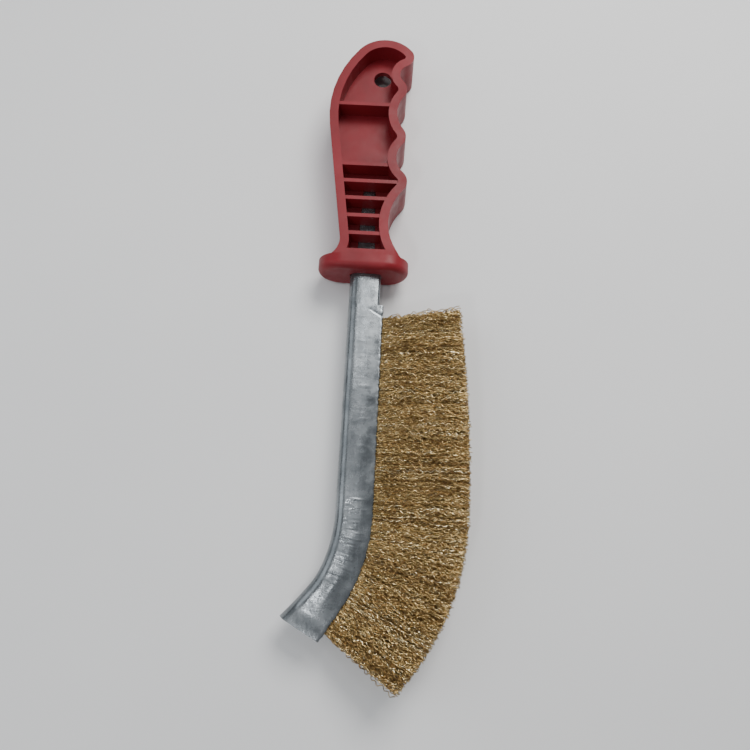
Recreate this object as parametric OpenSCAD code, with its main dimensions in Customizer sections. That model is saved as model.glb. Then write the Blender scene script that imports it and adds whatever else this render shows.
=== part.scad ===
// Hand wire brush: a moulded grip, a folded steel back strip and a fan of crimped brass-coated wires.
// The brush lies flat on one side.  +Y runs to the hanging end, +X to the wire face, and +Z up
// through the thickness.  All sizes are in millimetres.

/* [Handle] */
// thickness of the grip between its two flat faces
grip_thick = 18.6; // [17:0.2:19.6]
// width of the rim wall that follows the grip outline
rim_width = 3.8; // [3.2:0.1:4.4]
// thickness of the web in the middle of the grip
web_thick = 2.4; // [2.2:0.1:4]
// width of each cross rib
rib_width = 1.6; // [1.2:0.1:2.4]
// spacing of the cross ribs over the tang
rib_pitch = 8.1; // [7:0.1:9]
// radius of the hanging hole
hang_r = 4; // [3:0.1:4]
// thickness of the oval guard
guard_thick = 20; // [20:0.5:22]
// width of the oval guard
guard_width = 38; // [36:0.5:40]
// length of the guard along the brush
guard_len = 6; // [5.5:0.5:7]

/* [Back strip] */
// depth of the folded strip, from its back to its lips
strip_depth = 14.6; // [13.6:0.1:16]
// width of the folded strip
strip_width = 7.4; // [7:0.1:8.4]
// sheet thickness
sheet = 1; // [0.8:0.1:1.1]
// radius of the raking bend, measured at the lips
bend_r = 66; // [60:1:75]
// angle of the raking bend
bend_angle = 33; // [28:1:36]
// depth of the cut end of the raking tip
tip_depth = 17.2; // [16.5:0.1:19]
// length of the flat tang past the guard
tang_len = 33; // [25:1:36]

/* [Wires] */
// width of the wire face
face_width = 20; // [16:0.5:20]
// free wire length at the heel
trim_heel = 31; // [27:0.5:35]
// free wire length at the toe
trim_toe = 32.3; // [27:0.5:35]
// extra free length half way along
trim_bulge = 3.9; // [0:0.1:6]
// how far the heel wires splay towards the handle
heel_splay = 4.3; // [0:0.1:5]
// core wire diameter
core_d = 2.4; // [1.8:0.1:2.8]

/* [Hidden] */
$fn = 96;
$thin = 0;
bend_step_in = 0.02;
frame_shift = [-8.77, -16.05, guard_thick / 2];

// places along the brush, on the strip's straight axis
guard_y = 40;
grip_y = guard_y + guard_len;
cell_y = grip_y + 2.5;
lips_end_y = 26.4;
heel_y = 20;
bend_y = -58;

// back strip
back_r = strip_width / 2;
inside_r = back_r - sheet;
lips_x = strip_depth / 2;
bend_c = [lips_x - bend_r, bend_y];
neck_width = 6.8;
neck_depth = 13.4;
neck_x = -0.9;
neck_in = 4.6;
neck_top_y = guard_y + neck_in;
tip_len = 12.6;
tip_back_len = 13.9;
tip_wall = sheet + 3 * bend_step_in;
tip_flare = atan((tip_depth - strip_depth) / tip_back_len);
tang_x = -1.2;
tang_root = 8;
tang_end = 5;
tang_thick = 2;
tang_y = cell_y + tang_len;
slot_play = 0.05;

// core wire and wire roots
core_r = core_d / 2;
core_x = sheet + 1.2 + core_r - lips_x;
core_top_y = 38;
core_tip_len = 11;
toe_len = 9;
root_play = 0.05;

// wire groups
straight_groups = 10;
bend_groups = 5;
group_count = straight_groups + bend_groups + 1;
straight_pitch = (heel_y - bend_y) / straight_groups;
bend_step = bend_angle / bend_groups;
straight_gap = 0.3;
bend_gap = 0.6;
root_r = inside_r - 0.6;
hinge_x = lips_x + 0.1;
root_front = hinge_x - root_r - 0.3;
splay_at = [[0.3, 0.56], [0.65, 0.85], [1, 1]];

// grip outline: finger ridges and head as [x, y, r], and the radius of the groove above each ridge
ridges = [[8.7, 80.3, 6], [7.4, 102.1, 6], [7, 125.9, 6], [10.6, 142.9, 5]];
groove_rs = [9.8, 13.5, 5];
head = [2.8, 136.3, 15.2];
palm_r = 49.5;
palm_top_a = 139.9;
palm_low_a = 188.2;
palm_c = [head[0], head[1]] - polar(palm_r - head[2], palm_top_a);
palm_low = palm_c + polar(palm_r, palm_low_a);
thumb_c = [30.2, 61.2];
thumb_r = 22.7;
thumb_low_a = 233;
heel_r = 8.5;
palm_line = 54;
heel_c = palm_low + palm_line * [sin(palm_low_a - 180), -cos(palm_low_a - 180)] + polar(heel_r, palm_low_a);
guard_x = -2;
guard_r = guard_thick / 2;
guard_flat = guard_width - guard_thick;
guard_round = 2.6;
top_rib_y = 118.1;
first_rib_y = 88.3;
rib_count = 5;
rib_drop = 0.5;
hole_c = [1.9, 136.8];

function polar(r, a) = [r * cos(a), r * sin(a)];
function xy(c) = [c[0], c[1]];

// centre of the circle of radius r that touches the circles a and b on the finger side
function groove_c(a, b, r) =
    let (
        way = xy(b) - xy(a),
        span = norm(way),
        ra = a[2] + r,
        rb = b[2] + r,
        along = (span * span + ra * ra - rb * rb) / (2 * span),
        off = sqrt(ra * ra - along * along),
        u = way / span
    )
    xy(a) + along * u + off * [u[1], -u[0]];

grooves = [for (i = [0:2]) groove_c(ridges[i], ridges[i + 1], groove_rs[i])];

module disc(c, r) {
    translate(c) circle(r = r);
}

// a flat shape in X and Z, drawn out along the brush from y_low to y_top
module along_y(y_low, y_top) {
    translate([0, y_top, 0]) rotate([90, 0, 0]) linear_extrude(y_top - y_low) children();
}

// a flat shape in X and Y, given a thickness about the middle plane
module plate(thick) {
    translate([0, 0, -thick / 2]) linear_extrude(thick) children();
}

// turns a straight-strip piece to the place at angle a round the raking bend
module round_bend(a) {
    translate(bend_c) rotate([0, 0, -a]) translate(-bend_c) children();
}

// turns an X and Z profile round the raking bend; $thin makes it a hair slimmer than the straight
// runs that it joins, so that their ends meet in a clean step
module bend_sweep() {
    translate(bend_c) rotate([0, 0, -bend_angle]) rotate_extrude(angle = bend_angle, $thin = bend_step_in)
        translate([bend_r - lips_x, 0]) children();
}

// sweeps an X and Z profile along the strip's straight run, its bend and its end
module strip_sweep(y_top, end_len) {
    along_y(bend_y, y_top) children();
    bend_sweep() children();
    round_bend(bend_angle) along_y(bend_y - end_len, bend_y) children();
}

// points of an arc of centre c from angle a to angle b, about one every 7 degrees
function arc(c, r, a, b) =
    let (n = ceil(abs(b - a) / 7))
    [for (i = [0:n]) c + polar(r, a + (b - a) * i / n)];

function way(a, b) = atan2(b[1] - a[1], b[0] - a[0]);

// concave arc of the groove above ridge i, and convex arc of ridge i, for an outline inset by t
function groove_arc(i, t) =
    let (c = grooves[i], low = way(c, ridges[i]), top = way(c, ridges[i + 1]))
    arc(c, groove_rs[i] + t, low < 0 ? low + 360 : low, top);
function ridge_arc(i, t, from, to) = arc(xy(ridges[i]), ridges[i][2] - t, from, to);

// outline of the whole grip, drawn inset by t: up the finger side, over the head, down the palm side
function grip_points(t) = concat(
    [[guard_x + guard_width / 2, guard_y + 1]],
    arc(thumb_c, thumb_r + t, thumb_low_a, way(thumb_c, ridges[0])),
    ridge_arc(0, t, way(ridges[0], thumb_c), way(ridges[0], grooves[0])),
    groove_arc(0, t),
    ridge_arc(1, t, way(ridges[1], grooves[0]), way(ridges[1], grooves[1])),
    groove_arc(1, t),
    ridge_arc(2, t, way(ridges[2], grooves[1]), way(ridges[2], grooves[2])),
    groove_arc(2, t),
    ridge_arc(3, t, way(ridges[3], grooves[2]), way(head, ridges[3])),
    arc(xy(head), head[2] - t, way(head, ridges[3]), palm_top_a),
    arc(palm_c, palm_r - t, palm_top_a, palm_low_a),
    arc(heel_c, heel_r + t, palm_low_a - 180, -84),
    [[guard_x - guard_width / 2, guard_y + 1]]
);

module grip_plan(t) {
    polygon(grip_points(t));
}

// the hollow inside the rim, above the guard
module cell_plan(t) {
    intersection() {
        grip_plan(t);
        translate([-40, cell_y]) square([80, 120]);
    }
}

// oval section of the guard
module guard_section(r) {
    for (side = [-1, 1]) disc([guard_x + side * guard_flat / 2, 0], r);
    translate([guard_x - guard_flat / 2, -r]) square([guard_flat, 2 * r]);
}

// half profile of the guard: radius across, length up, with a rounded end
module guard_profile() {
    square([guard_r - guard_round, guard_len]);
    translate([0, guard_round]) square([guard_r, guard_len - guard_round]);
    disc([guard_r - guard_round, guard_round], guard_round);
}

module guard() {
    for (side = [-1, 1])
        translate([guard_x + side * guard_flat / 2, guard_y, 0]) rotate([-90, 0, 0])
            rotate_extrude() intersection() {
                guard_profile();
                square([guard_r, guard_len]);
            }
    for (side = [0, 1])
        translate([guard_x - guard_flat / 2, guard_y, 0]) mirror([0, 0, side])
            rotate([90, 0, 90]) linear_extrude(guard_flat) rotate([0, 0, 90]) mirror([0, 1])
                guard_profile();
}

module tang_plan(play) {
    polygon([
        [tang_x - tang_root / 2 - play, neck_top_y - 1], [tang_x + tang_root / 2 + play, neck_top_y - 1],
        [tang_x + tang_end / 2 + play, tang_y + play], [tang_x - tang_end / 2 - play, tang_y + play]
    ]);
}

// where the strip is pressed from a tube to the flat tang
module tang_shoulder(play) {
    low_y = neck_top_y - 0.8;
    top_y = cell_y - 0.6;
    half = neck_depth / 2 - 1 + play;
    intersection() {
        plate(neck_width) polygon([
            [neck_x - half, low_y], [neck_x + half, low_y],
            [tang_x + tang_root / 2 + play, top_y], [tang_x - tang_root / 2 - play, top_y]
        ]);
        translate([-20, 0, 0]) rotate([90, 0, 90]) linear_extrude(40) polygon([
            [low_y, 2.4 + play], [top_y, tang_thick / 2 + play],
            [top_y, -tang_thick / 2 - play], [low_y, -2.4 - play]
        ]);
    }
}

module neck_section(t) {
    r = neck_width / 2 - t;
    reach = neck_depth / 2 - neck_width / 2;
    for (side = [-1, 1]) disc([neck_x + side * reach, 0], r);
    translate([neck_x - reach, -r]) square([2 * reach, 2 * r]);
}

// moulded grip: rim with finger grooves, web, cross ribs, hanging hole and guard
module handle() {
    color("firebrick") translate(frame_shift) difference() {
        union() {
            guard();
            intersection() {
                difference() {
                    plate(grip_thick) grip_plan(0);
                    plate(grip_thick + 2) cell_plan(rim_width);
                }
                union() {
                    along_y(guard_y + guard_round, heel_c[1]) guard_section(guard_r - 0.05);
                    translate([-40, heel_c[1], -guard_r]) cube([80, 120, guard_thick]);
                }
            }
            plate(web_thick) difference() {
                cell_plan(rim_width - 0.1);
                disc(hole_c, hang_r);
                tang_plan(slot_play);
            }
            plate(grip_thick - 2 * rib_drop) intersection() {
                cell_plan(rim_width - 0.1);
                union() {
                    for (i = [0:rib_count - 1])
                        translate([-40, first_rib_y - i * rib_pitch - rib_width / 2]) square([80, rib_width]);
                    translate([-40, top_rib_y - rib_width / 2]) square([80, rib_width]);
                }
            }
        }
        along_y(guard_y - 1, neck_top_y + slot_play) neck_section(-slot_play);
        tang_shoulder(slot_play);
        plate(tang_thick + 2 * slot_play) tang_plan(slot_play);
    }
}

// filled D-shaped section of the folded strip, shrunk by t
module fold_section(t) {
    r = back_r - t;
    disc([back_r - lips_x, 0], r);
    translate([back_r - lips_x, -r]) square([strip_depth - back_r - t, 2 * r]);
}

// wall of the folded strip, open between its lips
module fold_wall() {
    c = [back_r - lips_x, 0];
    out = back_r - $thin;
    in = inside_r + $thin;
    polygon(concat(
        [[lips_x - $thin, out]], arc(c, out, 90, 270), [[lips_x - $thin, -out], [lips_x - $thin, -in]],
        arc(c, in, 270, 90), [[lips_x - $thin, in]]
    ));
}

// the raking tip, whose rounded back opens out from the bend, shrunk by t and run on by more
module tip_solid(t, over, more) {
    r = back_r - t;
    x0 = back_r - lips_x;
    flare = tip_depth - strip_depth;
    end_y = bend_y - tip_back_len - more;
    plate(2 * r) polygon([
        [x0 + flare * t / tip_back_len, bend_y + t], [lips_x + over, bend_y + t], [lips_x + over, end_y],
        [x0 - flare * (tip_back_len + more) / tip_back_len, end_y]
    ]);
    translate([x0, bend_y, 0]) rotate([90, 0, -tip_flare]) translate([0, 0, -2])
        cylinder(r = r, h = tip_back_len + more + 4);
}

// what is left of the tip below the bend and before its slanted cut
module tip_keep() {
    plate(strip_width + 2) polygon([
        [lips_x + 4, bend_y], [lips_x + 4, bend_y - tip_len + 0.35],
        [-lips_x - 12, bend_y - tip_back_len - 0.8], [-lips_x - 12, bend_y]
    ]);
}

// folded steel strip: tang, closed neck, open channel, raking bend and cut tip
module back_strip() {
    color("silver") translate(frame_shift) {
        along_y(bend_y, lips_end_y - sheet) fold_wall();
        bend_sweep() fold_wall();
        round_bend(bend_angle) difference() {
            intersection() {
                tip_solid(0, 0, 0);
                tip_keep();
            }
            tip_solid(tip_wall, 1, 2);
        }
        difference() {
            union() {
                along_y(lips_end_y - sheet, lips_end_y) fold_section(bend_step_in);
                along_y(lips_end_y - sheet, neck_top_y) neck_section(0);
                tang_shoulder(0);
                plate(tang_thick) tang_plan(0);
            }
            along_y(lips_end_y - 2, neck_top_y - 1) neck_section(sheet);
        }
    }
}

// wire that the fill is folded round, held in the bottom of the channel
module core_wire() {
    color("gray") translate(frame_shift) strip_sweep(core_top_y, core_tip_len)
        disc([core_x, 0], core_r - $thin);
}

// section of the packed roots, round the core wire
module root_section() {
    r = inside_r - root_play - $thin;
    difference() {
        union() {
            disc([back_r - lips_x, 0], r);
            translate([back_r - lips_x, -r]) square([root_front - $thin + lips_x - back_r, 2 * r]);
        }
        disc([core_x, 0], core_r + root_play + $thin);
    }
}

// folded ends of the wires, packed round the core wire
module wire_roots() {
    color("peru") translate(frame_shift) strip_sweep(heel_y, toe_len) root_section();
}

// trimmed length of the wires at the fraction u of the way from heel to toe
function trim(u) = trim_heel + (trim_toe - trim_heel) * u + trim_bulge * 4 * u * (1 - u);

// section of a wire group: a round root on the flex axis, fanning out to the wire face
module fan_section(len) {
    half = face_width / 2;
    disc([hinge_x, 0], root_r);
    polygon(concat(
        [[hinge_x, -root_r]],
        [for (p = splay_at) [hinge_x + len * p[0], -half * p[1]]],
        [for (i = [2:-1:0]) [hinge_x + len * splay_at[i][0], half * splay_at[i][1]]],
        [[hinge_x, root_r]]
    ));
}

// group k of the fill, counted from the heel
module wires(k) {
    len = trim((k - 0.5) / group_count);
    reach = bend_r + 50;
    color("goldenrod") translate(frame_shift) {
        if (k <= straight_groups) {
            low_y = heel_y - straight_pitch * k + straight_gap / 2;
            top_y = heel_y - straight_pitch * (k - 1) - straight_gap / 2;
            splay = k == 1 ? heel_splay : 0;
            intersection() {
                along_y(low_y, top_y + splay) fan_section(len);
                plate(face_width + 2) polygon([
                    [0, low_y], [80, low_y], [hinge_x + len, top_y + splay], [hinge_x, top_y], [0, top_y]
                ]);
            }
        } else if (k <= straight_groups + bend_groups) {
            half_a = bend_step / 2;
            back_off = bend_gap / 2 / sin(half_a);
            round_bend(bend_step * (k - straight_groups - 0.5)) intersection() {
                along_y(bend_y - 8, bend_y + 8) fan_section(len);
                plate(face_width + 2) polygon([
                    bend_c + [back_off, 0],
                    bend_c + [back_off, 0] + polar(reach, -half_a),
                    bend_c + [back_off, 0] + polar(reach, half_a)
                ]);
            }
        } else {
            round_bend(bend_angle) along_y(bend_y - toe_len, bend_y - bend_gap / 2) fan_section(len);
        }
    }
}

handle();
back_strip();
core_wire();
wire_roots();
wires(1);  // wires_01
wires(2);  // wires_02
wires(3);  // wires_03
wires(4);  // wires_04
wires(5);  // wires_05
wires(6);  // wires_06
wires(7);  // wires_07
wires(8);  // wires_08
wires(9);  // wires_09
wires(10);  // wires_10
wires(11);  // wires_11
wires(12);  // wires_12
wires(13);  // wires_13
wires(14);  // wires_14
wires(15);  // wires_15
wires(16);  // wires_16
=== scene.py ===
"""Looks, studio and camera for the wire brush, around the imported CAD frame.  Lengths in numpy are
millimetres in the brush's own axes, with the strip's centre at x = 0, and place() turns them into
metres in the shared frame."""

import math

import bpy
import numpy as np
from mathutils import Matrix, Vector


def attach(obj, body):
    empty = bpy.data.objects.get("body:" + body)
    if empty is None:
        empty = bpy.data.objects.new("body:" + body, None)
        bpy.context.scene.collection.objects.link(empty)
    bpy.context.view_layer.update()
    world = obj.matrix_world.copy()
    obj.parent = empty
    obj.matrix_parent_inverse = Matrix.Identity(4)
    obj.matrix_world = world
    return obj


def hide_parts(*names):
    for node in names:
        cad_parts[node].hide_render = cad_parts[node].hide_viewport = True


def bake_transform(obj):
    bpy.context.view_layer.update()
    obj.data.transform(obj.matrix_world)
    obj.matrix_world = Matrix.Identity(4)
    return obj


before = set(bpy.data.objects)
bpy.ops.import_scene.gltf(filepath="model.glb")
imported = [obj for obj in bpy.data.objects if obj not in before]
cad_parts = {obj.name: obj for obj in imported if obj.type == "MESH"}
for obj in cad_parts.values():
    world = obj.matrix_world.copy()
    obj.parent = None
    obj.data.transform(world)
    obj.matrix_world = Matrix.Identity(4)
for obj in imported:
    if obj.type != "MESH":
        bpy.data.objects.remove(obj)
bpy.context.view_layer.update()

# ---------------------------------------------------------------- sizes shared with the CAD
SHIFT = np.array([-8.77, -16.05, 10.0])  # from the brush's own axes to the shared frame
BACK_R = 3.7  # radius of the strip's folded back, and half its thickness
LIPS_X = 7.3  # edge of the strip's lips; its back is at -LIPS_X
HINGE_X = 7.4  # hinge axes of the wire groups
BEND_R = 66.0  # raking bend, at the lips
CENTRE_R = BEND_R - LIPS_X  # raking bend, at the strip's centre
BEND_Y = -58.0  # start of the bend
BEND_ANGLE = 33.0
BEND_C = np.array([LIPS_X - BEND_R, BEND_Y])
HEEL_Y = 20.0  # heel end of the wires
LIPS_END_Y = 26.4  # top of the open channel
TOE_LEN = 9.0  # run of the wires along the tip
TIP_LEN = 12.6  # strip past the bend, at the lips
TIP_BACK_LEN = 13.9  # the same, at the back
TIP_FLARE = 2.6  # how far the back stands out at the tip's end
STRAIGHT_GROUPS = 10
BEND_GROUPS = 5
GROUPS = 16
TRIM_HEEL, TRIM_TOE, TRIM_BULGE = 31.0, 32.3, 3.9  # free length of the wires
HEEL_SPLAY = 4.3  # most that the wires at the heel lean out past it
HALF_FACE = 10.0  # half the width of the wire face

# ---------------------------------------------------------------- sizes of the wires
WIRES_PER_GROUP = 400
WIRE_R = 0.19
CRIMP_PITCH = 2.9
CRIMP_DEPTH = 0.48
POINTS_PER_CRIMP = 4
ROOT_X = 5.2  # where the wires start, inside the channel
ROOT_HALF = 1.6  # half the width that their roots fill
OUTWARD = 0.7  # power below 1 moves the tips from the middle towards the faces
LENGTH_SPREAD = 0.35
TIP_SPREAD = 0.55
LEAN_SPREAD = 0.85
STRAY_SHARE = 0.02
STRAY_LENGTH = (-2.5, 0.9)
STRAY_LEAN = 1.3
FACE_GAP = 0.1  # what the tips keep from the face
SOFT_LIMIT = 9.1  # a wire that bulges past this is squeezed to SQUEEZED_TO beyond it at most
SQUEEZED_TO = 0.6
SQUEEZE_OVER = 0.9
FAN_START = 1.62  # how fast the fan opens at the lips, against an even opening
BLEND_BEFORE, BLEND_AFTER = 0.6, 7.0  # how far before and past its hinge a group's blend ends lie; wire_group works them out but nothing bends the wires
DRIFTS = ((0.60, 13, 22), (0.42, 6, 10))  # size, shortest and longest wave of the sideways drift


def place(points):
    """Brush millimetres, z from the middle plane, to metres in the shared frame."""
    return (np.asarray(points, float) + SHIFT) / 1000.0


def bent(points, angle):
    """Turns straight-strip points to their place at angle, in degrees, round the raking bend."""
    a = -np.radians(angle)
    dx = points[..., 0] - BEND_C[0]
    dy = points[..., 1] - BEND_C[1]
    out = points.copy()
    out[..., 0] = BEND_C[0] + dx * np.cos(a) - dy * np.sin(a)
    out[..., 1] = BEND_C[1] + dx * np.sin(a) + dy * np.cos(a)
    return out


def smoothstep(x, low, high):
    t = np.clip((x - low) / (high - low), 0, 1)
    return t * t * (3 - 2 * t)


# ---------------------------------------------------------------- materials
def material(name):
    m = bpy.data.materials.new(name)
    m.use_nodes = True
    tree = m.node_tree
    return m, tree, tree.nodes["Principled BSDF"]


def node(tree, kind, **inputs):
    n = tree.nodes.new(kind)
    for key, value in inputs.items():
        n.inputs[key.replace("_", " ")].default_value = value
    return n


def mapped(tree, scale):
    """Object coordinates stretched by scale, so that a pattern can run along the brush."""
    coords = tree.nodes.new("ShaderNodeTexCoord")
    m = tree.nodes.new("ShaderNodeMapping")
    m.inputs["Scale"].default_value = scale
    tree.links.new(coords.outputs["Object"], m.inputs["Vector"])
    return m.outputs["Vector"]


def noise(tree, vector, scale, detail):
    n = node(tree, "ShaderNodeTexNoise", Scale=scale, Detail=detail, Roughness=0.55)
    tree.links.new(vector, n.inputs["Vector"])
    return n.outputs["Fac"]


def ramp(tree, source, stops):
    r = tree.nodes.new("ShaderNodeValToRGB")
    while len(r.color_ramp.elements) < len(stops):
        r.color_ramp.elements.new(0.5)
    for e, (at, colour) in zip(r.color_ramp.elements, stops):
        e.position = at
        e.color = (*colour, 1.0)
    tree.links.new(source, r.inputs["Fac"])
    return r.outputs["Color"]


def to_range(tree, source, low, high, from_low=0.0, from_high=1.0):
    r = tree.nodes.new("ShaderNodeMapRange")
    r.inputs["From Min"].default_value = from_low
    r.inputs["From Max"].default_value = from_high
    r.inputs["To Min"].default_value = low
    r.inputs["To Max"].default_value = high
    tree.links.new(source, r.inputs["Value"])
    return r.outputs["Result"]


def mixed(tree, mode, factor, a, b):
    m = tree.nodes.new("ShaderNodeMix")
    m.data_type = "RGBA"
    m.blend_type = mode
    m.inputs["Factor"].default_value = factor
    tree.links.new(a, m.inputs["A"])
    tree.links.new(b, m.inputs["B"])
    return m.outputs["Result"]


def bump(tree, shader, height, strength, distance, below=None):
    b = tree.nodes.new("ShaderNodeBump")
    b.inputs["Strength"].default_value = strength
    b.inputs["Distance"].default_value = distance
    tree.links.new(height, b.inputs["Height"])
    if below:
        tree.links.new(below, b.inputs["Normal"])
    tree.links.new(b.outputs["Normal"], shader.inputs["Normal"])
    return b.outputs["Normal"]


EVEN = (1, 1, 1)
WHITE = (1.0, 1.0, 1.0)
REDS = [(0.30, (0.176, 0.0090, 0.0140)), (0.52, (0.222, 0.0120, 0.0185)), (0.75, (0.274, 0.0180, 0.0260))]
ZINCS = [(0.28, (0.150, 0.165, 0.176)), (0.50, (0.210, 0.228, 0.240)), (0.72, (0.290, 0.310, 0.324))]
BRASSES = [(0.0, (0.225, 0.133, 0.055)), (0.30, (0.51, 0.336, 0.139)),
           (0.62, (0.82, 0.610, 0.280)), (1.0, (1.0, 0.90, 0.62))]
FLOW_MARKS = [(0.3, (0.90, 0.90, 0.90)), (0.7, WHITE)]
SPANGLES = [(0.0, (0.90, 0.90, 0.91)), (1.0, WHITE)]
PITS = [(0.26, (0.45, 0.45, 0.46)), (0.33, WHITE)]
DIRT = [(0.25, (0.62, 0.60, 0.56)), (0.6, WHITE)]
# roots: brass strands, with a near-black stop that paints the shade in the gaps between packed wires
ROOT_BRASS_AND_GAP_SHADE = [(0.3, (0.05, 0.03, 0.012)), (0.6, (0.45, 0.28, 0.10))]
FLOOR_GREYS = [(0.3, (0.83, 0.83, 0.835)), (0.7, (0.87, 0.87, 0.87))]


def plastic():
    """The handle's red plastic: slight clouds and flow marks, and a fine grain."""
    m, tree, shader = material("red_plastic")
    even = mapped(tree, EVEN)
    tint = ramp(tree, noise(tree, even, 38, 5), REDS)
    flow = ramp(tree, noise(tree, mapped(tree, (1, 0.18, 1)), 160, 3), FLOW_MARKS)
    tree.links.new(mixed(tree, "MULTIPLY", 0.8, tint, flow), shader.inputs["Base Color"])
    gloss = to_range(tree, noise(tree, even, 210, 4), low=0.34, high=0.54, from_low=0.3, from_high=0.7)
    tree.links.new(gloss, shader.inputs["Roughness"])
    fine = bump(tree, shader, noise(tree, even, 2600, 2), strength=0.12, distance=0.0002)
    bump(tree, shader, noise(tree, even, 95, 3), strength=0.25, distance=0.0004, below=fine)
    shader.inputs["Subsurface Weight"].default_value = 0.06
    shader.inputs["Subsurface Radius"].default_value = (0.004, 0.0008, 0.0006)
    shader.inputs["Specular IOR Level"].default_value = 0.32
    return m


def galvanised(name, tone=1.0):
    """Zinc-coated steel: mottled, with faint spangles, pits, and rolling marks both ways."""
    m, tree, shader = material(name)
    even = mapped(tree, EVEN)
    base = ramp(tree, noise(tree, even, 120, 6), [(at, [c * tone for c in zinc]) for at, zinc in ZINCS])
    spangle = node(tree, "ShaderNodeTexVoronoi", Scale=330.0)
    tree.links.new(even, spangle.inputs["Vector"])
    body = mixed(tree, "MULTIPLY", 0.55, base, ramp(tree, spangle.outputs["Color"], SPANGLES))
    pits = ramp(tree, noise(tree, even, 620, 3), PITS)
    tree.links.new(mixed(tree, "MULTIPLY", 0.6, body, pits), shader.inputs["Base Color"])
    shader.inputs["Metallic"].default_value = 0.9
    gloss = to_range(tree, noise(tree, even, 260, 5), low=0.17, high=0.36, from_low=0.3, from_high=0.7)
    tree.links.new(gloss, shader.inputs["Roughness"])
    long_way = noise(tree, mapped(tree, (1, 0.05, 1)), 900, 3)
    cross_way = noise(tree, mapped(tree, (0.08, 1, 1)), 700, 3)
    first = bump(tree, shader, long_way, strength=0.18, distance=0.0002)
    second = bump(tree, shader, cross_way, strength=0.12, distance=0.0002, below=first)
    bump(tree, shader, noise(tree, even, 420, 3), strength=0.16, distance=0.0003, below=second)
    return m


def brass():
    """The wires' coating: colour and gloss follow each wire's own tone, with some dirt."""
    m, tree, shader = material("wire_brass")
    tone = tree.nodes.new("ShaderNodeAttribute")
    tone.attribute_name = "tone"
    body = ramp(tree, tone.outputs["Fac"], BRASSES)
    dirt = ramp(tree, noise(tree, mapped(tree, EVEN), 240, 3), DIRT)
    tree.links.new(mixed(tree, "MULTIPLY", 0.7, body, dirt), shader.inputs["Base Color"])
    shader.inputs["Metallic"].default_value = 1.0
    tree.links.new(to_range(tree, tone.outputs["Fac"], low=0.38, high=0.20), shader.inputs["Roughness"])
    return m


def packed_brass_gap_shade():
    """The folded roots in the channel: wires too tightly packed to tell apart, as brass strands with
    near-black painted shade in the gaps between them.
    """
    m, tree, shader = material("packed_brass_gap_shade")
    strands_and_gap_shade = noise(tree, mapped(tree, (0.12, 1, 1)), 1500, 3)
    # colour along the strands: brass, and near-black painted shade between them; the same noise also
    # drives the bump
    tree.links.new(ramp(tree, strands_and_gap_shade, ROOT_BRASS_AND_GAP_SHADE), shader.inputs["Base Color"])
    shader.inputs["Metallic"].default_value = 0.9
    shader.inputs["Roughness"].default_value = 0.42
    bump(tree, shader, strands_and_gap_shade, strength=0.6, distance=0.0006)
    return m


def floor_material():
    m, tree, shader = material("pale_floor")
    greys = ramp(tree, noise(tree, mapped(tree, EVEN), 6, 3), FLOOR_GREYS)
    tree.links.new(greys, shader.inputs["Base Color"])
    shader.inputs["Roughness"].default_value = 0.75
    return m


# ---------------------------------------------------------------- meshes
def mesh_object(name, points, quads, more_faces, tone=None):
    """A smooth mesh from brush millimetres; more_faces are lists of rows of equal length."""
    mesh = bpy.data.meshes.new(name)
    rows = [np.asarray(quads, np.int64)] + [np.asarray(f, np.int64) for f in more_faces]
    loops = np.concatenate([r.ravel() for r in rows])
    sizes = np.concatenate([np.full(len(r), r.shape[1]) for r in rows])
    mesh.vertices.add(len(points))
    mesh.vertices.foreach_set("co", place(points).astype(np.float32).ravel())
    mesh.loops.add(len(loops))
    mesh.loops.foreach_set("vertex_index", loops.astype(np.int32))
    mesh.polygons.add(len(sizes))
    mesh.polygons.foreach_set("loop_start", (np.cumsum(sizes) - sizes).astype(np.int32))
    if tone is not None:
        layer = mesh.attributes.new("tone", "FLOAT", "POINT")
        layer.data.foreach_set("value", tone.astype(np.float32))
    mesh.update(calc_edges=True)
    mesh.validate()
    mesh.shade_smooth()
    made = bpy.data.objects.new(name, mesh)
    bpy.context.scene.collection.objects.link(made)
    return made


def ring_faces(rings, sides, first=0):
    """Quads between successive closed rings of points."""
    i, j = np.meshgrid(np.arange(rings - 1), np.arange(sides), indexing="ij")
    k = (j + 1) % sides
    a = first + i * sides
    return np.stack([a + j, a + sides + j, a + sides + k, a + k], -1).reshape(-1, 4)


class Shell:
    """Lofts joined in one mesh: each is a stack of closed loops of equal length, with capped ends."""

    def __init__(self):
        self.points, self.quads, self.caps, self.count = [], [], [], 0

    def loft(self, loops):
        rings, sides = loops.shape[:2]
        self.points.append(loops.reshape(-1, 3))
        self.quads.append(ring_faces(rings, sides, self.count))
        last = self.count + (rings - 1) * sides
        self.caps.append(np.arange(self.count, self.count + sides)[None, :])
        self.caps.append(np.arange(last, last + sides)[::-1][None, :])
        self.count += rings * sides

    def make(self, name):
        return mesh_object(name, np.concatenate(self.points), np.concatenate(self.quads), self.caps)


CORNER_POINTS = 7


def rounded_box(cx, half_x, half_z, back, y, front=None):
    """Closed loop in X and Z at y, with corners of radius back, or front on the lips' side."""
    loop = []
    for sx, sz, start in ((1, 1, 0), (-1, 1, 90), (-1, -1, 180), (1, -1, 270)):
        radius = front if front and sx > 0 else back
        for t in np.linspace(0, 90, CORNER_POINTS):
            a = math.radians(start + t)
            loop.append((cx + sx * (half_x - radius) + radius * math.cos(a), y,
                         sz * (half_z - radius) + radius * math.sin(a)))
    return loop


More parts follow.
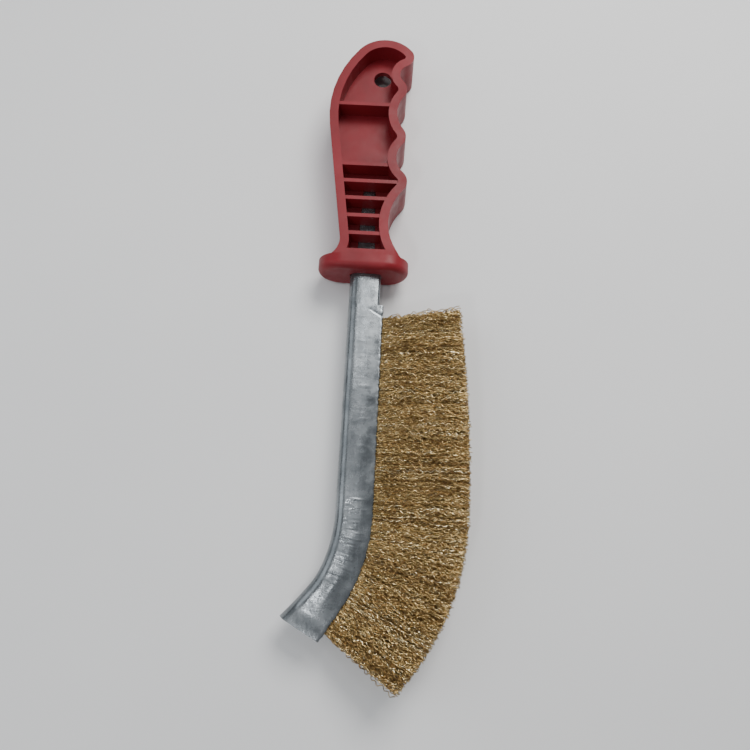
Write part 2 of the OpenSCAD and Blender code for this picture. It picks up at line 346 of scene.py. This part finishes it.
# ---------------------------------------------------------------- back strip
WALL = 1.0
CROWN = 0.03  # lean of the whole side wall, per millimetre from the back
PINCH = 0.10  # the further lean beyond the lengthwise crease
CREASE_X = 1.4  # that crease, and how softly it turns
KNEE = 0.6
MOUTH = 0.9  # about how far each side wall opens at the tip, over the last MOUTH_LEN
MOUTH_LEN = 7
FLARE_FROM = 8.0  # the flare of the tip starts this far before the end of the bend
FLARE_POWER = 1.7
FINE_STEP, COARSE_STEP, TURN_STEP = 0.25, 0.6, 0.22  # between sections, in mm and degrees
COARSE_FROM, COARSE_TO = 18.0, -46.0
TIP_SECTIONS = 26
OPEN_END = (116, 130)  # run over which the pinch fades out, by OPEN_SHARE
OPEN_SHARE = 0.75
BULGE, BULGE_AT, BULGE_LEN = 0.34, 112, 6.0  # swelling near the end of the bend, which catches the light
SWAY = 0.15
DENTS = 46
BEND_SHARE = 0.62  # share of the dents that lie on BEND_RUN
BEND_RUN, STRAIGHT_RUN = (78, 112), (4, 78)
STRIP_SEED = 11
TANG_TOP_Y, TANG_LEN = 48.1, 33.3
TANG_HALF, TANG_TAPER = 4.0, 1.5
TANG_HALF_THICK, TANG_CHAMFER = 1.0, 0.25


def pinched_by(x):
    """How far each side wall leans in at x: a slight crown, then a crease towards the lips."""
    knee = np.log1p(np.exp(np.clip((x - CREASE_X) / KNEE, -30, 30))) * KNEE
    return CROWN * np.clip(x + LIPS_X - BACK_R, 0, None) + PINCH * knee


def side_wall(z):
    """The way out of each side wall, as a sign, fading to 0 towards the middle plane."""
    return np.sign(z) * smoothstep(np.abs(z), 1.6, 3.2)


def channel_loop(back_x):
    """Section of the folded strip: outer wall round the back, lip, inner wall, lip."""
    inside = BACK_R - WALL
    half = WALL / 2
    edge = LIPS_X - half
    centre = back_x + BACK_R
    outer = [(x, BACK_R) for x in np.linspace(edge, centre, 15)[:-1]]
    outer += [(centre + BACK_R * math.cos(a), BACK_R * math.sin(a))
              for a in np.radians(np.linspace(90, 270, 25))]
    outer += [(x, -BACK_R) for x in np.linspace(centre, edge, 15)[1:]]
    lip = [(edge + half * math.cos(a), half * math.sin(a))
           for a in np.radians(np.linspace(-90, 90, 7))[1:-1]]
    low = [(x, -inside - half + z) for x, z in lip]
    top = [(x, inside + half + z) for x, z in lip]
    inner = [(x, -inside) for x in np.linspace(edge, centre, 7)[:-1]]
    inner += [(centre + inside * math.cos(a), inside * math.sin(a))
              for a in np.radians(np.linspace(270, 90, 19))]
    inner += [(x, inside) for x in np.linspace(centre, edge, 7)[1:]]
    return np.array(outer + low + inner + top)


def dents(x, s, rng):
    """Shallow forming marks on the strip's sides at x, s millimetres below the channel's end."""
    out = np.zeros_like(x)
    for _ in range(DENTS):
        on_bend = rng.random() < BEND_SHARE
        at = rng.uniform(*(BEND_RUN if on_bend else STRAIGHT_RUN))
        centre = rng.uniform(-1.6, 3.4) + (0 if on_bend else 0.6)
        deep = rng.uniform(0.03, 0.08) * (1.5 if on_bend else 1)
        half_len = rng.uniform(0.25, 0.42)
        slant = rng.uniform(-0.12, 0.12)
        away = s - at - slant * (x - centre)
        half_width = rng.uniform(1.2, 2.6)
        out += deep * np.exp(-(away / half_len) ** 2 - ((x - centre) / half_width) ** 2)
    return out


def ripples(x, s):
    """Wrinkles along the sides where the bend squeezes them."""
    rise = smoothstep(s, 76, 86) * (1 - smoothstep(s, 98, 108)) * np.exp(-((x + 0.2) / 2.6) ** 2)
    short_wave = 0.032 * np.sin(s * 2 * math.pi / 1.25 + np.sin(s * 0.9))
    long_wave = 0.030 * np.sin(s * 2 * math.pi / 1.9)
    return rise * (short_wave + long_wave)


def heel_crease(x, s):
    """Slanted crease where the channel opens below the neck."""
    away = s - (1.6 + (x - 1.2) * 0.55)
    return 0.12 * np.exp(-(away / 0.34) ** 2) * smoothstep(x, 0.2, 2.6)


def formed(x, z, s, end):
    """Pinches, marks and bulges the plain channel's points; end is its whole run."""
    side = np.sign(z)
    wall = side_wall(z)
    kept = 1 - OPEN_SHARE * smoothstep(s, *OPEN_END)
    pinched = pinched_by(x) * kept - MOUTH * smoothstep(s, end - MOUTH_LEN, end + 1)
    bulge = BULGE * np.exp(-((s - BULGE_AT) / BULGE_LEN) ** 2 - ((x - 0.2) / 2.3) ** 2)
    sway = 0.10 * np.sin(s * 0.21) + 0.07 * np.sin(s * 0.53 + 1)
    marks = dents(x, s, np.random.default_rng(STRIP_SEED)) + ripples(x, s) - heel_crease(x, s)
    z = z - wall * pinched + wall * (marks + SWAY * sway + bulge)
    wavy_lip = 0.10 * np.sin(s * 0.9) + 0.08 * np.sin(s * 2.3 + side)
    return x + smoothstep(x, 5.5, 7.2) * wavy_lip, z


def channel_sections():
    """Each section's back x, y, angle round the bend, share of the tip, and run down the channel."""
    heights = np.concatenate([np.arange(LIPS_END_Y, COARSE_FROM, -FINE_STEP),
                              np.arange(COARSE_FROM, COARSE_TO, -COARSE_STEP),
                              np.arange(COARSE_TO, BEND_Y, -FINE_STEP)])
    rows = [(-LIPS_X, y, 0.0, 0.0, LIPS_END_Y - y) for y in heights]
    turned = [(a, 0.0) for a in np.arange(0, BEND_ANGLE, TURN_STEP)]
    tipped = [(BEND_ANGLE, t) for t in np.linspace(0, 1, TIP_SECTIONS)]
    bend_run = math.radians(BEND_ANGLE) * CENTRE_R
    for a, t in turned + tipped:
        past = math.radians(a) * CENTRE_R + TIP_LEN * t
        opened = np.clip((past - bend_run + FLARE_FROM) / (FLARE_FROM + TIP_LEN), 0, 1)
        back_x = -LIPS_X - TIP_FLARE * opened ** FLARE_POWER
        rows.append((back_x, BEND_Y, a, t, LIPS_END_Y - BEND_Y + past))
    return np.array(rows).T


def channel():
    """The open channel, from its end below the neck, round the bend, to the slanted tip."""
    back_x, y, angle, tip, run = channel_sections()
    flat = np.array([channel_loop(back) for back in back_x])
    s = np.repeat(run[:, None], flat.shape[1], 1)
    x, z = formed(flat[..., 0], flat[..., 1], s, run[-1])
    down = tip[:, None] * np.interp(x, [-LIPS_X - TIP_FLARE, LIPS_X], [TIP_BACK_LEN, TIP_LEN])
    loops = np.stack([x, y[:, None] - down, z], -1)
    for loop, a in zip(loops, angle):
        if a:
            loop[:] = bent(loop, a)
    return loops


def plug():
    """Closes the top of the channel, inside the neck."""
    rings = [rounded_box(-0.5, 6.3, half_z, 1.9, y)
             for half_z, y in ((2.1, 25.2), (2.5, 25.5), (2.5, 26.1), (2.1, 26.4))]
    return np.array(rings)


def neck_and_tang():
    """The closed neck, pinched like the channel, its shoulder, and the tang that narrows to its end."""
    rings = []
    for y in np.linspace(24.9, 44.6, 34):
        ring = np.array(rounded_box(-0.8, 6.46, 3.66, 3.4, y, front=1.2))
        ring[:, 2] -= side_wall(ring[:, 2]) * pinched_by(ring[:, 0])
        rings.append(ring.tolist())
    rings.append(rounded_box(-0.95, 5.4, 2.3, 2.2, 44.75))
    rings.append(rounded_box(-1.2, TANG_HALF, TANG_HALF_THICK, 0.35, TANG_TOP_Y))
    for t in (0.01, 0.3, 0.6, 0.9, 0.99, 1.0):
        half_z = TANG_HALF_THICK - TANG_CHAMFER * (t == 1)
        rings.append(rounded_box(-1.2, TANG_HALF - TANG_TAPER * t, half_z, 0.35,
                                 TANG_TOP_Y + TANG_LEN * t))
    return np.array(rings)


def back_strip():
    """The whole folded strip, in place of its CAD node."""
    shell = Shell()
    for loops in (channel(), plug(), neck_and_tang()):
        shell.loft(loops)
    made = shell.make("strip_folded")
    made.data.set_sharp_from_angle(angle=math.radians(50))
    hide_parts("back_strip")
    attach(made, "brush")
    made.data.materials.append(galvanised("galvanised_strip"))


# ---------------------------------------------------------------- wires
def trim(u):
    """Free length of a wire at u, from 0 at the heel to 1 at the toe."""
    return TRIM_HEEL + (TRIM_TOE - TRIM_HEEL) * u + TRIM_BULGE * 4 * u * (1 - u)


def group_span(k):
    """(angle, y) limits on the lips of group k, counted from the heel."""
    if k <= STRAIGHT_GROUPS:
        pitch = (HEEL_Y - BEND_Y) / STRAIGHT_GROUPS
        return (0, 0), (HEEL_Y - pitch * (k - 1), HEEL_Y - pitch * k)
    if k <= STRAIGHT_GROUPS + BEND_GROUPS:
        step = BEND_ANGLE / BEND_GROUPS
        j = k - STRAIGHT_GROUPS
        return (step * (j - 1), step * j), (BEND_Y, BEND_Y)
    return (BEND_ANGLE, BEND_ANGLE), (BEND_Y, BEND_Y - TOE_LEN)


def wire_ends(k, count, rng):
    """Root and tip of each wire of group k on the straight strip, with its angle round the bend."""
    (a0, a1), (y0, y1) = group_span(k)
    t = (np.arange(count) + rng.random(count)) / count
    angle = a0 + (a1 - a0) * t
    y = y0 + (y1 - y0) * t
    u = (k - 1 + t) / GROUPS
    z_root = rng.uniform(-ROOT_HALF, ROOT_HALF, count)
    length = trim(u) + rng.normal(0, LENGTH_SPREAD, count)
    stray = rng.random(count) < STRAY_SHARE
    length += stray * rng.uniform(*STRAY_LENGTH, count)
    spread = np.sign(z_root) * np.abs(z_root / ROOT_HALF) ** OUTWARD
    face = HALF_FACE - FACE_GAP
    z_tip = np.clip(HALF_FACE * spread + rng.normal(0, TIP_SPREAD, count), -face, face)
    lean = rng.normal(0, LEAN_SPREAD, count) + stray * rng.normal(0, STRAY_LEAN, count)
    if k == 1:
        near = np.clip(1 - t * 1.15, 0, 1)
        lean += HEEL_SPLAY * near * rng.uniform(0.55, 1.0, count)
        y = y + 1.2 * near * rng.random(count)
    if k == GROUPS:
        lean -= 0.7 * t ** 3 * rng.uniform(0, 1, count)
    root = np.stack([np.full(count, ROOT_X), y, z_root], -1)
    tip = np.stack([HINGE_X + length, y + lean, z_tip], -1)
    return root, tip, angle


def crimped(root, tip, rng):
    """Centre line of each wire, and the plane normal of its crimp."""
    count = len(root)
    longest = np.linalg.norm(tip - root, axis=1).max()
    n = int(longest / CRIMP_PITCH * POINTS_PER_CRIMP) + 1
    p = np.linspace(0, 1, n)
    way = tip - root
    line = root[:, None, :] + way[:, None, :] * p[None, :, None]
    opened = p * (FAN_START - (FAN_START - 1) * p)
    line[..., 2] = root[:, None, 2] + way[:, None, 2] * opened[None, :]
    ahead = way / np.linalg.norm(way, axis=1)[:, None]
    up = np.cross(ahead, [0.0, 0.0, 1.0])
    up /= np.linalg.norm(up, axis=1)[:, None]
    other = np.cross(ahead, up)
    roll = rng.uniform(0, 2 * math.pi, count)
    wave_way = up * np.cos(roll)[:, None] + other * np.sin(roll)[:, None]
    flat_way = np.cross(ahead, wave_way)
    pace = 2 * math.pi / POINTS_PER_CRIMP * rng.uniform(0.86, 1.14, count)
    phase = np.arange(n)[None, :] * pace[:, None] + rng.uniform(0, 2 * math.pi, count)[:, None]
    freed = 0.45 + 0.55 * np.minimum(1, p * 4)
    depth = CRIMP_DEPTH * rng.uniform(0.75, 1.25, count)[:, None] * freed[None]
    line += (depth * np.sin(phase))[..., None] * wave_way[:, None, :]
    for direction in (wave_way, flat_way):
        line += wander(p * longest, count, rng)[..., None] * direction[:, None, :]
    over = np.clip(np.abs(line[..., 2]) - SOFT_LIMIT, 0, None)
    line[..., 2] -= np.sign(line[..., 2]) * (over - SQUEEZED_TO * np.tanh(over / SQUEEZE_OVER))
    return line, flat_way


def wander(run, count, rng):
    """Slow sideways drift of each wire along its run, by which the wires weave through each other."""
    out = np.zeros((count, len(run)))
    for size, low, high in DRIFTS:
        wave = rng.uniform(low, high, count)[:, None]
        out += size * rng.normal(0, 0.8, count)[:, None] * np.sin(
            2 * math.pi * run[None] / wave + rng.uniform(0, 2 * math.pi, count)[:, None])
    return out * smoothstep(run, 1.0, 9.0)[None]


def tubes(line, flat_way, radius):
    """Three-sided tubes round each centre line: points, quads and end triangles."""
    count, n = line.shape[:2]
    tangent = np.gradient(line, axis=1)
    tangent /= np.linalg.norm(tangent, axis=2)[..., None]
    side = np.broadcast_to(flat_way[:, None, :], line.shape)
    out = np.cross(side, tangent)
    out /= np.linalg.norm(out, axis=2)[..., None]
    turns = np.radians([90, 210, 330])
    ring = out[:, :, None, :] * np.cos(turns)[None, None, :, None]
    ring = ring + side[:, :, None, :] * np.sin(turns)[None, None, :, None]
    points = line[:, :, None, :] + radius * ring
    one = ring_faces(n, 3)
    starts = np.arange(count)[:, None, None] * (n * 3)
    quads = (one[None] + starts).reshape(-1, 4)
    ends = np.array([[0, 1, 2], [n * 3 - 1, n * 3 - 2, n * 3 - 3]])
    caps = (ends[None] + starts).reshape(-1, 3)
    return points, quads, caps


def wire_group(k, look):
    """Group k of the fill, in place of its CAD solid; the ends of a blend onto its hinge are worked out
    but not used.
    """
    rng = np.random.default_rng(100 + k)
    root, tip, angle = wire_ends(k, WIRES_PER_GROUP, rng)
    line, flat_way = crimped(root, tip, rng)
    points, quads, caps = tubes(line, flat_way, WIRE_R)
    if k > STRAIGHT_GROUPS:
        points = bent(points, angle[:, None, None])
    count, n = line.shape[:2]
    tone = np.clip(rng.beta(1.5, 2.2, count)[:, None] + rng.normal(0, 0.14, (count, n)), 0, 1)
    name = "wires_%02d" % k
    tone = np.repeat(tone.ravel(), 3)
    made = mesh_object("crimped_" + name, points.reshape(-1, 3), quads, [caps], tone)
    made.data.materials.append(look)
    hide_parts(name)
    (a0, a1), (y0, y1) = group_span(k)
    middle = (y0 + y1) / 2
    ends = np.array([[HINGE_X - BLEND_BEFORE, middle, 0.0], [HINGE_X + BLEND_AFTER, middle, 0.0]])
    start, end = place(bent(ends, (a0 + a1) / 2) if k > STRAIGHT_GROUPS else ends)
    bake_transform(made)


# ---------------------------------------------------------------- carried-over nodes
def set_material(name, look):
    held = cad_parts[name]
    if not held.material_slots:
        held.data.materials.append(look)
    for slot in held.material_slots:
        slot.link = "OBJECT"
        slot.material = look


def round_edges(name, width, angle):
    """Rounds a carried-over node's edges that are sharper than angle, in degrees, by width metres."""
    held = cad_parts[name]
    flat = held.modifiers.new("flat", "DECIMATE")
    flat.decimate_type = "DISSOLVE"
    flat.angle_limit = math.radians(0.6)
    edge = held.modifiers.new("edge", "BEVEL")
    edge.width = width
    edge.segments = 2
    edge.limit_method = "ANGLE"
    edge.angle_limit = math.radians(angle)
    edge.use_clamp_overlap = True
    edge.harden_normals = False
    edge.miter_outer = "MITER_ARC"
    shade = held.modifiers.new("shade", "WEIGHTED_NORMAL")
    shade.keep_sharp = True
    shade.weight = 60


# ---------------------------------------------------------------- studio
# the photo's camera, in brush millimetres
CAMERA_AT = np.array([7.21, -71.06, 258.9])
LENS, SENSOR = 31.68, 36.0
RIGHT = Vector((0.9987, 0.0500, 0.0057))
UP = Vector((-0.0497, 0.9655, 0.2555))
FORWARD = Vector((-0.0072, 0.2555, -0.9668))


def camera():
    data = bpy.data.cameras.new("camera")
    data.lens = LENS
    data.sensor_width = SENSOR
    cam = bpy.data.objects.new("camera", data)
    turn = Matrix((RIGHT, UP, -FORWARD)).transposed().to_4x4()
    cam.matrix_world = Matrix.Translation(Vector(place(CAMERA_AT))) @ turn
    data.clip_start = 0.01
    bpy.context.scene.collection.objects.link(cam)
    bpy.context.scene.camera = cam


# name, place, aim, size, watts and colour of each soft light
LIGHTS = (
    ("key", (0.22, 0.42, 0.55), (0, 0, 0), (0.40, 0.30), 4.5, (1.0, 0.985, 0.96)),
    ("fill", (-0.55, 0.05, 0.45), (0, 0, 0), (0.5, 0.5), 1.0, (0.93, 0.97, 1.0)),
    ("band", (-0.13, 0.08, 0.85), (-0.01, 0, 0), (0.14, 0.6), 0.22, WHITE),
    ("spark", (0.03, 0.30, 0.85), (-0.01, -0.08, 0), (0.16, 0.16), 0.5, WHITE),
    ("bend_glint", (-0.062, -0.135, 0.9), (-0.01, -0.09, 0), (0.05, 0.05), 0.45, WHITE),
    ("tip_glint", (-0.23, -0.51, 0.65), (-0.03, -0.13, 0), (0.08, 0.08), 0.85, WHITE),
)
FLOOR_SIZE = 6.0
SKY = (0.86, 0.90, 0.95, 1.0)
SKY_STRENGTH = 0.31


def softbox(name, at, aim, size, power, colour):
    data = bpy.data.lights.new(name, "AREA")
    data.shape = "RECTANGLE"
    data.size, data.size_y = size
    data.energy = power
    data.color = colour
    lamp = bpy.data.objects.new(name, data)
    lamp.location = at
    lamp.rotation_euler = (Vector(aim) - Vector(at)).to_track_quat("-Z", "Y").to_euler()
    bpy.context.scene.collection.objects.link(lamp)


def studio():
    bpy.ops.mesh.primitive_plane_add(size=FLOOR_SIZE, location=(0, 0, 0))
    ground = bpy.context.object
    ground.name = "floor"
    ground.data.materials.append(floor_material())
    for light in LIGHTS:
        softbox(*light)
    world = bpy.data.worlds.new("studio")
    world.use_nodes = True
    back = world.node_tree.nodes["Background"]
    back.inputs["Color"].default_value = SKY
    back.inputs["Strength"].default_value = SKY_STRENGTH
    bpy.context.scene.world = world


camera()
studio()
set_material("handle", plastic())
round_edges("handle", width=0.0005, angle=38)
set_material("core_wire", galvanised("core_steel", tone=0.85))
# the roots' material carries painted shade between their strands
set_material("wire_roots", packed_brass_gap_shade())
back_strip()
BRASS = brass()
for group in range(1, GROUPS + 1):
    wire_group(group, BRASS)
